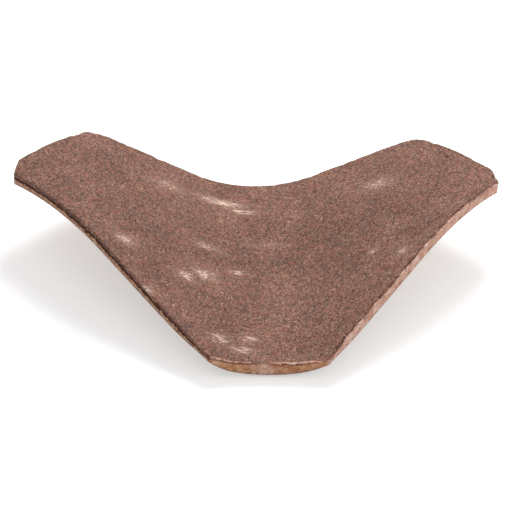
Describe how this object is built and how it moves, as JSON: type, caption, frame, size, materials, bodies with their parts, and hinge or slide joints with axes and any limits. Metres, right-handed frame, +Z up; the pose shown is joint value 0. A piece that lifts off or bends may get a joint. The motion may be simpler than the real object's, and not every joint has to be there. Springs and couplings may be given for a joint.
{
  "type": "concrete valley roof tile",
  "caption": "Trough-shaped sand-faced concrete valley tile for plain tiling, narrow at the tail, with wings that flare to clipped tips.",
  "frame": {"origin": "under the middle of the trough, halfway between tail and head, at the level the tile lies on", "axes": "+X towards the right wing tip, +Y from the narrow tail to the wide head, +Z up, out of the weathered face"},
  "size_m": [0.4376, 0.265, 0.0745],
  "materials": {
    "sand_faced_concrete": "through-coloured reddish-brown concrete, upper face dusted with coarse dark and red mineral sand, matt"
  },
  "bodies": {
    "root": {"valley_tile": "sand_faced_concrete"}
  },
  "joints": []
}
